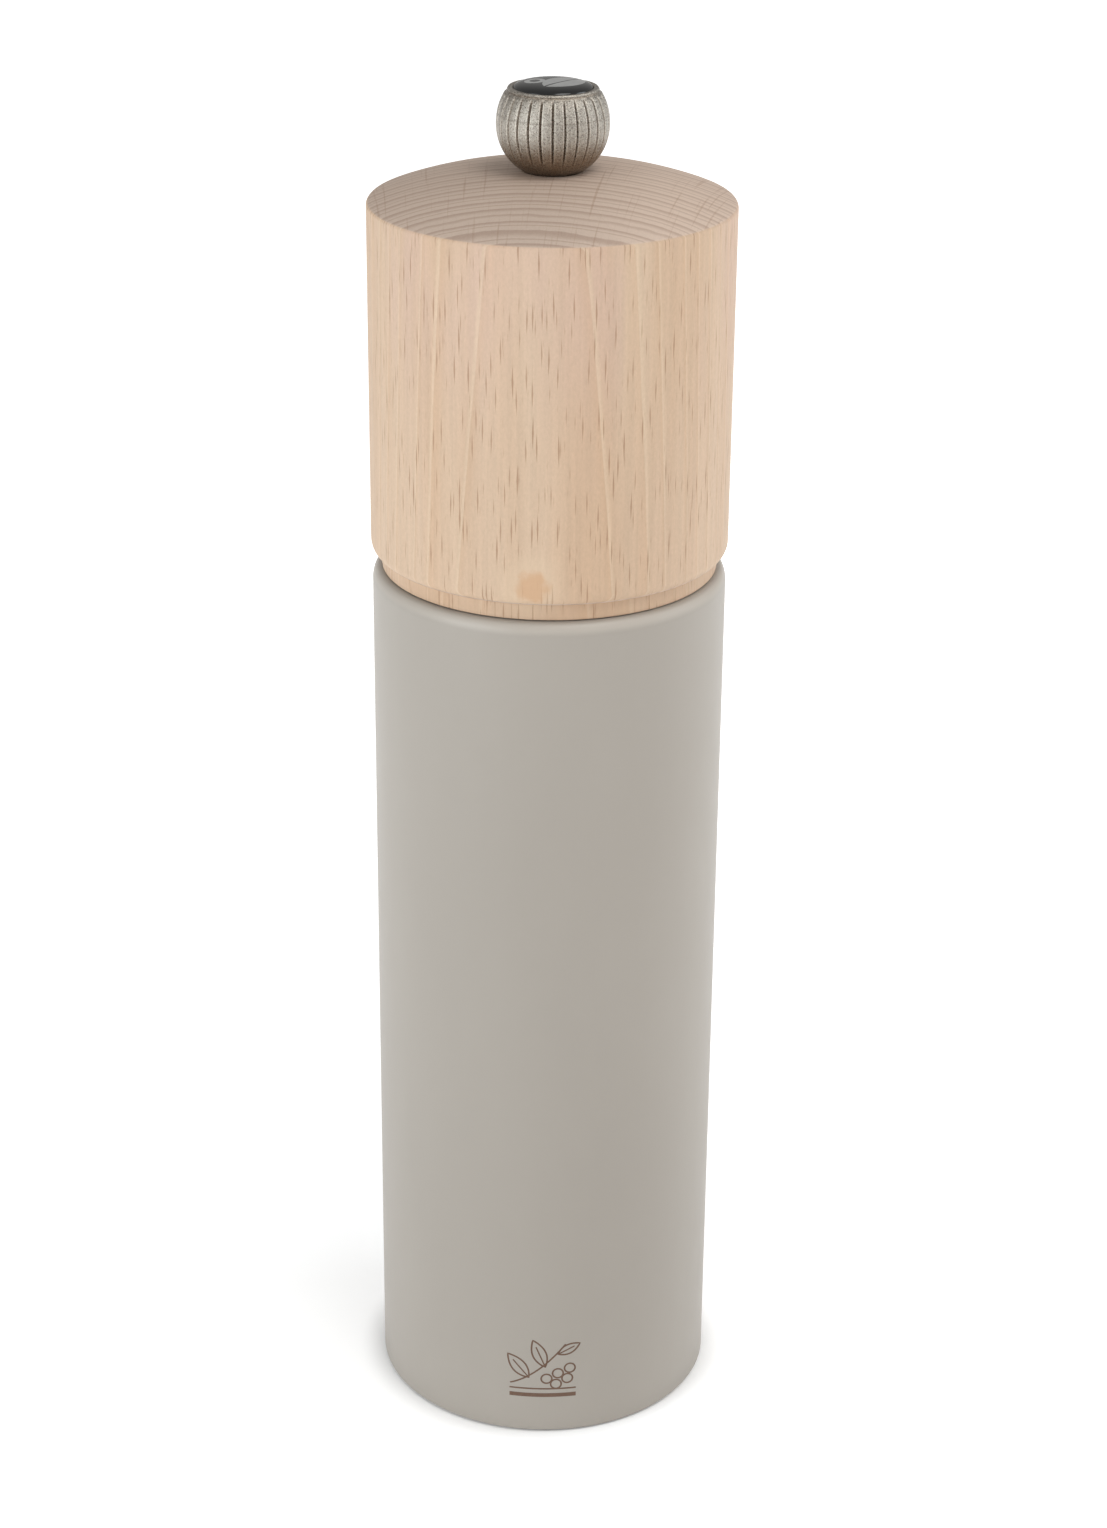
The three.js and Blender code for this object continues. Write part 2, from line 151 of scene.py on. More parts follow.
def arc(centre, radii, start, end, steps):
    """(radius, height) points along an elliptical arc, angles in degrees."""
    points = []
    for i in range(steps + 1):
        angle = math.radians(start + (end - start) * i / steps)
        radius = centre[0] + radii[0] * math.cos(angle)
        points.append((radius, centre[1] + radii[1] * math.sin(angle)))
    return points


def rounded(outline, radius, closed=True, steps=3):
    """The outline with each sharp corner replaced by a short round one."""
    points = [Vector(p) for p in outline]
    count = len(points)
    result = []
    for i, corner in enumerate(points):
        if not closed and i in (0, count - 1):
            result.append(tuple(corner))
            continue
        before = points[i - 1] - corner
        after = points[(i + 1) % count] - corner
        if before.angle(after) > math.radians(150):
            result.append(tuple(corner))
            continue
        reach = min(radius, before.length * 0.45, after.length * 0.45)
        start = corner + before.normalized() * reach
        end = corner + after.normalized() * reach
        for step in range(steps + 1):
            t = step / steps
            point = start * (1 - t) ** 2 + corner * 2 * t * (1 - t) + end * t**2
            result.append(tuple(point))
    return result


def polar_loop(radius, height, columns):
    """One ring of points. radius is a number or a function of the angle."""
    loop = []
    for i in range(columns):
        angle = FULL_TURN * i / columns
        r = radius(angle) if callable(radius) else radius
        loop.append((r * math.cos(angle), r * math.sin(angle), height))
    return loop


def add_skin(bm, loops, joined):
    """Closes rings of points into a surface: the last ring meets the first, or both ends are capped."""
    rings = [[bm.verts.new(Vector(p) * MM) for p in loop] for loop in loops]
    pairs = list(zip(rings, rings[1:]))
    if joined:
        pairs.append((rings[-1], rings[0]))
    for lower, upper in pairs:
        for i in range(len(lower)):
            j = (i + 1) % len(lower)
            bm.faces.new((lower[i], lower[j], upper[j], upper[i]))
    if not joined:
        bm.faces.new(list(reversed(rings[0])))
        bm.faces.new(rings[-1])


def finished(bm, name, sharp_angle=40):
    """Turns a bmesh into a shown object with smooth faces and sharp creases."""
    bmesh.ops.remove_doubles(bm, verts=bm.verts, dist=1e-7)
    bmesh.ops.recalc_face_normals(bm, faces=bm.faces)
    mesh = bpy.data.meshes.new(name)
    bm.to_mesh(mesh)
    bm.free()
    mesh.shade_smooth()
    mesh.set_sharp_from_angle(angle=math.radians(sharp_angle))
    piece = bpy.data.objects.new(name, mesh)
    bpy.context.collection.objects.link(piece)
    return piece


def lofted(name, stations, columns=COLUMNS, joined=True, sharp_angle=40):
    """A piece built up round the axis from (radius, height) stations."""
    bm = bmesh.new()
    loops = [polar_loop(radius, height, columns) for radius, height in stations]
    add_skin(bm, loops, joined)
    return finished(bm, name, sharp_angle)


def place(piece, body, material, nodes):
    """Gives a piece its material, its body and the CAD nodes it stands for."""
    piece.data.materials.clear()
    piece.data.materials.append(material)
    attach(piece, body)
    if nodes:
        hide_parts(*nodes)


def cut_away(piece, cutter):
    """Cuts one mesh out of another and applies the cut."""
    modifier = piece.modifiers.new("cut", "BOOLEAN")
    modifier.operation = "DIFFERENCE"
    modifier.solver = "EXACT"
    modifier.object = cutter
    depsgraph = bpy.context.evaluated_depsgraph_get()
    mesh = bpy.data.meshes.new_from_object(piece.evaluated_get(depsgraph))
    piece.modifiers.clear()
    piece.data = mesh
    piece.data.set_sharp_from_angle(angle=math.radians(40))
    bpy.data.objects.remove(cutter)


def boxed(name, low, high):
    """A plain box between two corners, used as a cutter."""
    bm = bmesh.new()
    bmesh.ops.create_cube(bm, size=1)
    for vert in bm.verts:
        for axis in range(3):
            vert.co[axis] = (low[axis] + (high[axis] - low[axis]) * (vert.co[axis] + 0.5)) * MM
    return finished(bm, name)


# ---- Colours ----


def srgb(red, green, blue):
    """A colour given as 0-255 display values, as the linear colour that shaders use."""
    def linear(value):
        share = value / 255
        return share / 12.92 if share <= 0.04045 else ((share + 0.055) / 1.055) ** 2.4

    return (linear(red), linear(green), linear(blue), 1.0)


LACQUER_LIGHT = srgb(163, 156, 147)
LACQUER_DARK = srgb(157, 150, 141)
BEECH_PALE = srgb(202, 178, 154)
BEECH_TAN = srgb(195, 166, 139)
BEECH_PINK = srgb(199, 171, 153)
BEECH_ORANGE = srgb(194, 159, 128)
BEECH_LINE = srgb(210, 187, 160)
BEECH_FLECK = srgb(152, 116, 88)
KNOT_ORANGE = srgb(194, 149, 110)
END_PALE = srgb(186, 167, 152)
END_DARK = srgb(153, 130, 115)
END_RAY = srgb(146, 118, 98)
NICKEL_LIGHT = srgb(168, 161, 151)
NICKEL_BROWN = srgb(134, 115, 96)
# NICKEL_GROOVE also serves as painted shade in the knob's grooves and under its bead.
NICKEL_GROOVE = srgb(104, 82, 62)
BADGE_DARK = srgb(14, 14, 15)
BADGE_GREY = srgb(150, 150, 149)
MARK_DARK = srgb(92, 68, 54)
MARK_LIGHT = srgb(112, 86, 70)
PAPER_WHITE = srgb(247, 247, 247)

# ---- Node trees ----

# Where a colour mix node has its two colours and its result.
MIX_FIRST = 6
MIX_SECOND = 7
MIX_RESULT = 2


class Value:
    """A node output that can be added, subtracted, multiplied and divided like a number."""

    def __init__(self, graph, socket):
        self.graph = graph
        self.socket = socket

    def __add__(self, other):
        return self.graph.math("ADD", self, other)

    def __sub__(self, other):
        return self.graph.math("SUBTRACT", self, other)

    def __mul__(self, other):
        return self.graph.math("MULTIPLY", self, other)

    def __truediv__(self, other):
        return self.graph.math("DIVIDE", self, other)


class Nodes:
    """A node tree and the steps that build it."""

    def __init__(self, tree):
        self.tree = tree

    def node(self, kind, **settings):
        node = self.tree.nodes.new(kind)
        for name, value in settings.items():
            setattr(node, name, value)
        return node

    def feed(self, socket, value):
        if isinstance(value, Value):
            self.tree.links.new(value.socket, socket)
        else:
            socket.default_value = value

    def math(self, operation, *values):
        node = self.node("ShaderNodeMath", operation=operation)
        for socket, value in zip(node.inputs, values):
            self.feed(socket, value)
        return Value(self, node.outputs[0])

    def dot(self, vector, direction):
        node = self.node("ShaderNodeVectorMath", operation="DOT_PRODUCT")
        self.feed(node.inputs[0], vector)
        node.inputs[1].default_value = Vector(direction).normalized()
        return Value(self, node.outputs["Value"])


class Surface(Nodes):
    """A material, the place on the object in millimetres, and the patterns made from it."""

    def __init__(self, name):
        self.material = bpy.data.materials.new(name)
        self.material.use_nodes = True
        super().__init__(self.material.node_tree)
        self.shader = self.tree.nodes["Principled BSDF"]
        coordinates = self.node("ShaderNodeTexCoord")
        self.normal = Value(self, coordinates.outputs["Normal"])
        scaled = self.node("ShaderNodeVectorMath", operation="SCALE")
        self.tree.links.new(coordinates.outputs["Object"], scaled.inputs[0])
        scaled.inputs["Scale"].default_value = 1 / MM
        self.place = Value(self, scaled.outputs[0])

    def split(self, vector):
        """The x, y and z of a vector."""
        node = self.node("ShaderNodeSeparateXYZ")
        self.feed(node.inputs[0], vector)
        return [Value(self, output) for output in node.outputs]

    def vector(self, x, y, z):
        node = self.node("ShaderNodeCombineXYZ")
        for socket, value in zip(node.inputs, (x, y, z)):
            self.feed(socket, value)
        return Value(self, node.outputs[0])

    def stretched(self, x, y, z):
        """The place on the object multiplied along each axis."""
        node = self.node("ShaderNodeVectorMath", operation="MULTIPLY")
        self.feed(node.inputs[0], self.place)
        node.inputs[1].default_value = (x, y, z)
        return Value(self, node.outputs[0])

    def noise(self, vector, detail=2.0, roughness=0.5):
        """Soft noise between 0 and 1, about 0.5 on average."""
        node = self.node("ShaderNodeTexNoise")
        self.feed(node.inputs["Vector"], vector)
        node.inputs["Scale"].default_value = 1.0
        node.inputs["Detail"].default_value = detail
        node.inputs["Roughness"].default_value = roughness
        return Value(self, node.outputs[0])

    def spindles(self, vector):
        """Scattered pointed shapes: the distance to the nearest one's middle, and its random number."""
        node = self.node("ShaderNodeTexVoronoi", voronoi_dimensions="2D", distance="MANHATTAN")
        self.feed(node.inputs["Vector"], vector)
        node.inputs["Scale"].default_value = 1.0
        node.inputs["Randomness"].default_value = 1.0
        chance = self.split(Value(self, node.outputs["Color"]))[0]
        return Value(self, node.outputs["Distance"]), chance

    def step(self, value, low, high):
        """0 at low, 1 at high, smooth between. low may be above high."""
        node = self.node("ShaderNodeMapRange", interpolation_type="SMOOTHSTEP")
        self.feed(node.inputs["Value"], value)
        rising = low < high
        node.inputs["From Min"].default_value = low if rising else high
        node.inputs["From Max"].default_value = high if rising else low
        node.inputs["To Min"].default_value = 0.0 if rising else 1.0
        node.inputs["To Max"].default_value = 1.0 if rising else 0.0
        return Value(self, node.outputs[0])

    def mix(self, share, first, second):
        """A colour between two colours."""
        node = self.node("ShaderNodeMix", data_type="RGBA", clamp_factor=True)
        self.feed(node.inputs[0], share)
        self.feed(node.inputs[MIX_FIRST], first)
        self.feed(node.inputs[MIX_SECOND], second)
        return Value(self, node.outputs[MIX_RESULT])

    def brightened(self, color, factor):
        """A colour multiplied by a number."""
        node = self.node("ShaderNodeVectorMath", operation="SCALE")
        self.feed(node.inputs[0], color if isinstance(color, Value) else color[:3])
        self.feed(node.inputs["Scale"], factor)
        return Value(self, node.outputs[0])

    def bump(self, height, depth_mm):
        node = self.node("ShaderNodeBump")
        self.feed(node.inputs["Height"], height)
        node.inputs["Strength"].default_value = 1.0
        node.inputs["Distance"].default_value = depth_mm * MM
        self.tree.links.new(node.outputs[0], self.shader.inputs["Normal"])

    def set(self, **sockets):
        """Sets the shader's sockets, named in lower case with underscores."""
        names = {socket.name.lower().replace(" ", "_"): socket for socket in self.shader.inputs}
        for name, value in sockets.items():
            self.feed(names[name], value)
        return self.material


# ---- Lacquer and beech ----


def lacquer():
    """Matte warm grey lacquer over a faint grain, with a painted highlight in a thin band round the lip.
    """
    g = Surface("warm_grey_lacquer")
    mottle = g.noise(g.stretched(0.05, 0.05, 0.02), detail=3.0)
    speckle = g.noise(g.stretched(9, 9, 9), detail=1.0)
    color = g.mix(mottle, LACQUER_LIGHT, LACQUER_DARK)
    height = g.split(g.place)[2]
    # Painted highlight: a thin paler band just under the lip's top edge, where the lip catches light.
    rising = g.step(height, BODY_TOP - 2.0, BODY_TOP - 0.9)
    thin = rising * g.step(height, BODY_TOP, BODY_TOP - 0.5)
    color = g.brightened(color, speckle * 0.05 + thin * 0.24 + 0.975)
    fibre = g.noise(g.stretched(1.6, 1.6, 0.06), detail=3.0)
    g.bump(fibre * 0.5 + speckle * 0.35, 0.012)
    roughness = g.noise(g.stretched(0.3, 0.3, 0.1)) * 0.08 + 0.40
    return g.set(base_color=color, roughness=roughness, specular_ior_level=0.5)


PITH_X = -12.0
PITH_Y = -150.0
PITH_LEAN = 0.038
RING_PITCH = 2.9
FIRST_RING = 124.3
KNOT_X = -2.5
KNOT_Z = 143.7
KNOT_HALF_WIDTH = 2.4
KNOT_HALF_HEIGHT = 2.5


def growth(g):
    """Share of the way from one growth ring to the next, and the bearing and distance from the pith."""
    x, y, z = g.split(g.place)
    across = x - PITH_X
    along = y - (g.math("SUBTRACT", HEAD_RIM, z) * PITH_LEAN + PITH_Y)
    distance = g.math("SQRT", across * across + along * along)
    wander = g.noise(g.stretched(0.06, 0.10, 0.008), detail=2.0) * 1.4
    waver = g.noise(g.stretched(0.5, 0.5, 0.04), detail=2.0) * 0.3
    season = g.noise(g.vector(distance * 0.22, 0.0, 0.0), detail=1.0) * 3.0
    ring = g.math("FRACT", (distance + wander + waver + season - FIRST_RING) / RING_PITCH)
    return ring, g.math("ARCTAN2", across, along), distance


def grain_marks(g, neck):
    """The wood's dark marks: long flecks, fainter dashes between them, and ticks round the neck."""
    x, y, z = g.split(g.place)
    around = g.math("ARCTAN2", x, g.math("MULTIPLY", y, -1.0)) * HEAD_RADIUS
    weave = g.noise(g.stretched(0.35, 0.35, 0.08), detail=1.0) * 0.6
    near, chance = g.spindles(g.vector(around / 0.72 + weave, z / 14.0, 0.0))
    length = chance * 0.10 + 0.08
    fleck = g.step(near - length, 0.05, -0.04) * (chance * 0.35 + 0.5)
    small, odds = g.spindles(g.vector(around / 0.7 + weave, z / 6.5 + 7.3, 0.0))
    dash = g.step(small, 0.17, 0.06) * g.step(odds, 0.5, 0.9) * 0.3
    tick = g.step(g.noise(g.vector(around * 1.5, 0.0, 3.0), detail=1.0), 0.63, 0.71) * neck
    return g.math("MAXIMUM", g.math("MAXIMUM", fleck, dash), tick)


def with_pin_knot(g, color):
    """The colour with a small ragged orange knot in it, low on the front of the head."""
    x, y, z = g.split(g.place)
    across = (x - KNOT_X) / KNOT_HALF_WIDTH
    upwards = (z - KNOT_Z) / KNOT_HALF_HEIGHT
    ragged = g.noise(g.stretched(0.7, 0.7, 0.5), detail=3.0)
    reach = g.math("SQRT", across * across + upwards * upwards) + ragged * 1.2 - 0.6
    in_front = g.step(y, -15.0, -20.0)
    color = g.mix(g.step(reach, 2.6, 1.1) * in_front * 0.35, color, BEECH_LINE)
    return g.mix(g.step(reach, 1.3, 0.6) * in_front * 0.6, color, KNOT_ORANGE)


def side_grain(g, ring, streak, fine, marks, neck):
    """The colour along the grain: drifting bands, pale growth lines, streaks and dark marks."""
    z = g.split(g.place)[2]
    band = g.noise(g.stretched(0.10, 0.10, 0.006), detail=3.0)
    color = g.mix(g.step(band, 0.28, 0.72), BEECH_PALE, BEECH_TAN)
    pink = g.noise(g.stretched(0.14, 0.14, 0.018), detail=2.0)
    near_rim = g.step(z, HEAD_RIM - 34.0, HEAD_RIM - 4.0)
    color = g.mix(g.step(pink, 0.42, 0.70) * (near_rim * 0.6 + 0.1), color, BEECH_PINK)
    color = g.mix(g.step(ring, 0.70, 0.99) * 0.25, color, BEECH_ORANGE)
    pale_line = g.step(ring, 0.0, 0.02) * g.step(ring, 0.15, 0.04)
    color = g.mix(pale_line * 0.5, color, BEECH_LINE)
    color = g.brightened(color, streak * 0.24 + fine * 0.24 + 0.76)
    color = g.mix(neck * 0.3, color, BEECH_ORANGE)
    color = g.mix(marks * 0.8, color, BEECH_FLECK)
    return with_pin_knot(g, color)


def end_grain(g, ring, bearing, distance, fine):
    """The colour across the grain: dark late wood in each ring, a weaker ring between, thin rays, and
    painted light that brightens it towards +x.
    """
    x, _, z = g.split(g.place)
    late = g.step(ring, 0.55, 0.9) * g.step(ring, 1.0, 0.94)
    between = g.math("FRACT", ring * 2.0)
    weak = g.step(between, 0.6, 0.88) * g.step(between, 1.0, 0.93)
    color = g.mix(g.math("MAXIMUM", late * 0.65, weak * 0.5), END_PALE, END_DARK)
    rays = g.noise(g.vector(bearing * 260.0, distance * 0.03, z * 0.02), detail=2.0, roughness=0.7)
    color = g.mix(g.step(rays, 0.58, 0.70) * 0.38, color, END_RAY)
    # Painted light: the end grain grows brighter towards +x, as if lit more from that side.
    painted_light_right = g.step(x, -4.0, 20.0)
    return g.brightened(color, fine * 0.24 + painted_light_right * 0.30 + 0.89)


def beech(name, bored=False):
    """Turned beech, flecked along the grain and ringed across it. A bored surface is a little darker."""
    g = Surface(name)
    ring, bearing, distance = growth(g)
    height = g.split(g.place)[2]
    neck = g.step(height, HEAD_UNDERSIDE + 0.3, HEAD_UNDERSIDE - 0.3)
    marks = grain_marks(g, neck)
    fine = g.noise(g.stretched(3.2, 3.2, 1.6), detail=3.0, roughness=0.65)
    streak = g.noise(g.stretched(1.3, 1.3, 0.035), detail=3.0, roughness=0.6)
    side = side_grain(g, ring, streak, fine, marks, neck)
    end = end_grain(g, ring, bearing, distance, fine)
    facing_up = g.split(g.normal)[2]
    is_end = g.step(g.math("ABSOLUTE", facing_up), 0.55, 0.85)
    color = g.mix(is_end, side, end)
    if bored:
        color = g.brightened(color, 0.9)
    g.bump(streak * 0.4 - marks * 0.8 + fine * 0.25, 0.03)
    return g.set(base_color=color, roughness=streak * 0.1 + 0.52, specular_ior_level=0.3)


# ---- Metals, badge and mark ----


def metal(name, light, dark, roughness, patch=0.25, grain=(3.0, 3.0, 3.0), depth_mm=0.006):
    """Bare or plated metal: a tone that drifts between two colours over a fine grain."""
    g = Surface(name)
    drift = g.noise(g.stretched(patch, patch, patch), detail=3.0)
    fine = g.noise(g.stretched(*grain), detail=3.0, roughness=0.6)
    color = g.mix(g.step(drift + fine * 0.4, 0.45, 0.95), light, dark)
    g.bump(fine, depth_mm)
    return g.set(base_color=color, roughness=fine * 0.16 + (roughness - 0.08), metallic=1.0)


def aged_nickel():
    """Antique nickel over a grainy casting: rubbed bright lands with painted highlights beside the
    grooves, brown grooves that hold tarnish and painted shade, painted shade under the bead, browner at
    the foot.
    """
    g = Surface("aged_nickel")
    x, y, z = g.split(g.place)
    turns = g.math("ARCTAN2", y, x) * (KNOB_FLUTES / FULL_TURN)
    wave = g.math("ABSOLUTE", g.math("FRACT", turns + 0.5) - 0.5)
    above_foot = g.step(z, FLUTE_BOTTOM, FLUTE_BOTTOM + FLUTE_RUN_OUT)
    fluted = above_foot * g.step(z, FLUTE_TOP, FLUTE_TOP - LAND_ROUNDING)
    # Groove brown: tarnish in the hollows and painted shade.
    groove = g.step(wave, 0.10, 0.04) * fluted
    # Painted highlight: a bright band along each groove's edge, also standing for rubbed wear.
    worn_and_highlit = g.step(wave, 0.10, 0.14) * g.step(wave, 0.24, 0.17) * fluted
    # Painted shade: the recess under the bead is darkened with the groove brown.
    above_flutes = g.step(z, FLUTE_TOP - 0.1, FLUTE_TOP + 0.1)
    under_bead = above_flutes * g.step(z, BEAD_BOTTOM + 0.12, BEAD_BOTTOM - 0.08)
    cast = g.noise(g.stretched(4.0, 4.0, 4.0), detail=4.0, roughness=0.75)
    patch = g.noise(g.stretched(0.5, 0.5, 0.4), detail=2.0)
    low = g.step(z, KNOB_CENTRE - 0.9, KNOB_CENTRE - 5.5)
    tone = g.mix(low * (patch * 0.6 + 0.5), NICKEL_LIGHT, NICKEL_BROWN)
    tone = g.mix(groove * 0.5, tone, NICKEL_GROOVE)
    tone = g.mix(under_bead * 0.5, tone, NICKEL_GROOVE)
    tone = g.brightened(tone, cast * 2.2 + worn_and_highlit * 0.35 - 0.12)
    seam = g.step(g.math("ABSOLUTE", z - CASTING_SEAM), 0.09, 0.03)
    g.bump(cast + seam * 0.4, 0.11)
    return g.set(base_color=tone, roughness=cast * 0.3 + 0.14, metallic=1.0)


def badge_gloss():
    """Black gloss with a plain grey leaf and a small ring."""
    g = Surface("badge_gloss")
    x, y, _ = g.split(g.place)

    def disc(centre_x, centre_y, radius):
        across = x - centre_x
        along = y - centre_y
        distance = g.math("SQRT", across * across + along * along)
        return g.step(distance, radius + 0.06, radius - 0.06)

    leaf_x, leaf_y = 1.5, -0.4
    leaf_tilt = math.radians(-42)
    side_x, side_y = math.cos(leaf_tilt), math.sin(leaf_tilt)
    bow, spread = 4.6, 2.1
    leaf = disc(leaf_x + side_x * spread, leaf_y + side_y * spread, bow)
    leaf = leaf * disc(leaf_x - side_x * spread, leaf_y - side_y * spread, bow)
    off_vein = g.math("ABSOLUTE", (x - leaf_x) * side_x + (y - leaf_y) * side_y)
    leaf = leaf * g.step(off_vein, 0.10, 0.22)

    ring_x, ring_outside, ring_inside = -2.6, 1.5, 0.75
    hole = disc(ring_x, 0.0, ring_inside)
    ring = disc(ring_x, 0.0, ring_outside) * g.math("SUBTRACT", 1.0, hole)
    haze = g.noise(g.stretched(0.8, 0.8, 0.8)) * 0.3 + 0.85
    color = g.mix(g.math("MAXIMUM", leaf, ring), BADGE_DARK, g.brightened(BADGE_GREY, haze))
    return g.set(base_color=color, roughness=0.12, specular_ior_level=0.6)


def mark_brown():
    """The body mark's dark brown, slightly uneven as it is burnt into the lacquer."""
    g = Surface("mark_brown")
    uneven = g.noise(g.stretched(2, 2, 2), detail=2.0)
    return g.set(base_color=g.mix(uneven, MARK_DARK, MARK_LIGHT), roughness=0.7)


LACQUER = lacquer()
BEECH = beech("turned_beech")
BEECH_BORED = beech("bored_beech", bored=True)
NICKEL = aged_nickel()
BADGE = badge_gloss()
MARK = mark_brown()
BRASS = metal("turned_brass", srgb(205, 172, 98), srgb(178, 142, 74), 0.32, grain=(1.0, 1.0, 6.0))
ALUMINIUM = metal(
    "drawn_aluminium", srgb(210, 212, 214), srgb(190, 192, 195), 0.34, grain=(8.0, 8.0, 0.15)
)
BURR_STEEL = metal("hardened_steel", srgb(138, 136, 134), srgb(104, 100, 96), 0.38)
SPRING_STEEL = metal("spring_wire", srgb(176, 176, 178), srgb(150, 149, 148), 0.25)
ZINC = metal("zinc_plate", srgb(196, 195, 188), srgb(170, 170, 160), 0.3)
SCREW_STEEL = metal("screw_zinc", srgb(190, 188, 182), srgb(160, 158, 152), 0.28)

# ---- Body and fixed burr ----


def body_casing():
    """The lacquered body. Its bores are bare beech."""
    lip_centre = (BODY_RADIUS - LIP_WIDTH, BODY_TOP - LIP_DROP)
    lip = arc(lip_centre, (LIP_WIDTH, LIP_DROP), 0, 90, 12)
    base_edge = arc((BODY_RADIUS - BASE_EDGE, BASE_EDGE), (BASE_EDGE, BASE_EDGE), -90, 0, 5)
    bores = rounded(
        [
            (SOCKET_RADIUS, BODY_TOP),
            (SOCKET_RADIUS, SOCKET_FLOOR),
            (RESERVOIR_RADIUS, SOCKET_FLOOR),
            (RESERVOIR_RADIUS, GRINDER_BORE_TOP),
            (GRINDER_BORE_RADIUS, GRINDER_BORE_TOP),
            (GRINDER_BORE_RADIUS, RECESS_TOP),
            (RECESS_RADIUS, RECESS_TOP),
            (RECESS_RADIUS, 0.0),
        ],
        0.4,
        closed=False,
    )
    piece = lofted("mill_body", base_edge + lip + bores)
    place(piece, "body", LACQUER, ["body_casing"])
    piece.data.materials.append(BEECH_BORED)
    bore_limit = (RECESS_RADIUS + 0.2) * MM
    for face in piece.data.polygons:
        is_lip = face.center.z > (BODY_TOP - 0.2) * MM
        if Vector(face.center[:2]).length < bore_limit and not is_lip:
            face.material_index = 1


def saw(angle, teeth, lean=0.85):
    """A sawtooth between 0 and 1 that climbs slowly and drops fast."""
    share = (angle * teeth / FULL_TURN) % 1.0
    return share / lean if share < lean else (1.0 - share) / (1.0 - lean)


def stator_ring():
    """The fixed burr, with slanted teeth in a bore that widens downwards."""
    teeth, depth, twist = 24, 0.7, math.radians(-25)
    mouth, tip_radius, feed_radius, teeth_top = 12.9, 11.9, 13.8, 18.4
    outside = [(mouth, STATOR_BOTTOM), (STATOR_RADIUS, STATOR_BOTTOM), (STATOR_RADIUS, STATOR_TOP)]
    stations = rounded(outside, 0.3, closed=False)
    stations += [(feed_radius, STATOR_TOP)]
    steps = 12
    for i in range(steps + 1):
        height = teeth_top + (STATOR_BOTTOM - teeth_top) * i / steps
        tip = tip_radius - (height - STATOR_BOTTOM) * BURR_SLOPE
        turn = twist * (height - STATOR_BOTTOM) / 10

        def toothed(angle, tip=tip, turn=turn):
            return tip + depth * saw(angle - turn, teeth)

        stations.append((toothed, height))
    piece = lofted("stator_burr", stations, columns=240, sharp_angle=30)
    place(piece, "body", BURR_STEEL, ["stator_ring"])


def keep_node(node, material, bevel_mm=0.15):
    """Keeps a CAD node, with a better material and softened edges."""
    piece = frame["nodes"][node]
    piece.data.materials.clear()
    piece.data.materials.append(material)
    bevel = piece.modifiers.new("edges", "BEVEL")
    bevel.width = bevel_mm * MM
    bevel.segments = 2
    bevel.limit_method = "ANGLE"
    bevel.angle_limit = math.radians(40)


def screw(name, node, body, head_height, slot_turn):
    """A slotted pan-head wood screw with a tapering thread, where the CAD screw is."""
    pitch, thread_depth, point_length, slot_width = 0.9, 0.28, 2.5, 0.6
    low, high = node_box(node)
    centre = [(a + b) / 2 for a, b in zip(low, high)]
    head_radius = (high[0] - low[0]) / 2
    shank = head_radius / 2
    rim = low[2] + head_height
    outline = arc((0, rim - head_height * 0.35), (head_radius, head_height * 0.65), -90, 0, 8)
    outline += [(head_radius, rim), (shank, rim)]
    length = high[2] - rim
    for i in range(int(length / pitch * 4)):
        height = rim + i * pitch / 4
        taper = min(1.0, (high[2] - height) / point_length)
        depth = 0.0 if i % 4 in (1, 2) else thread_depth
        outline.append(((shank - depth) * max(taper, 0.15), height))
    outline.append((0.02, high[2]))
    piece = lofted(name, outline, columns=32, joined=False)
    piece.location = (centre[0] * MM, centre[1] * MM, 0)
    reach = head_radius * 1.3
    slot_low = (-reach, -slot_width / 2, low[2] - 1)
    slot = boxed("slot", slot_low, (reach, slot_width / 2, low[2] + head_height * 0.5))
    slot.location = piece.location
    slot.rotation_euler.z = slot_turn
    bpy.context.view_layer.update()
    cut_away(piece, slot)
    place(piece, body, SCREW_STEEL, [node])


# ---- Spring core and spindle ----


def top_washer():
    """The flat ring between the bridge and the spring."""
    outer, bottom, top = node_span("upper_spring_washer")
    inner = SHAFT_CLEAR_RADIUS
    outline = rounded([(inner, bottom), (outer, bottom), (outer, top), (inner, top)], 0.15)
    piece = lofted("top_washer", outline, columns=96)
    place(piece, "spring_core", ZINC, ["upper_spring_washer"])


def spring():
    """The compression spring, its end turns closed up and lying flat."""
    wire = 0.5
    coil = SPRING_OUTSIDE - wire
    turns, steps, sides = 7, 48, 14
    low, high = SPRING_BOTTOM + wire, SPRING_TOP - wire
    loops = []
    for i in range(turns * steps + 1):
        share = i / (turns * steps)
        eased = share**3 * (share * (share * 6 - 15) + 10)
        height = low + (high - low) * (share * 0.55 + eased * 0.45)
        angle = FULL_TURN * turns * share
        outward = Vector((math.cos(angle), math.sin(angle), 0))
        loop = []
        for side in range(sides):
            around = FULL_TURN * side / sides
            point = outward * (coil + wire * math.cos(around))
            loop.append((point.x, point.y, height + wire * math.sin(around)))
        loops.append(loop)
    bm = bmesh.new()
    add_skin(bm, loops, joined=False)
    piece = finished(bm, "coil_spring")
    place(piece, "spring_core", SPRING_STEEL, ["grinder_spring"])
    travel = next(j["range_m"][1] for j in frame["joints"] if j["name"] == "rotor_adjust") / MM
    length = SPRING_TOP - SPRING_BOTTOM
    keep = (length - travel) / length
    SPRING_TOP * MM
    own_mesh(piece)


def square_radius(side, corner=0.4):
    """The outline of a square bar with softened corners, as a function of the angle."""
    half = side / 2
    limit = half * math.sqrt(2) - corner

    def radius(angle):
        return min(half / max(abs(math.cos(angle)), abs(math.sin(angle))), limit)

    return radius


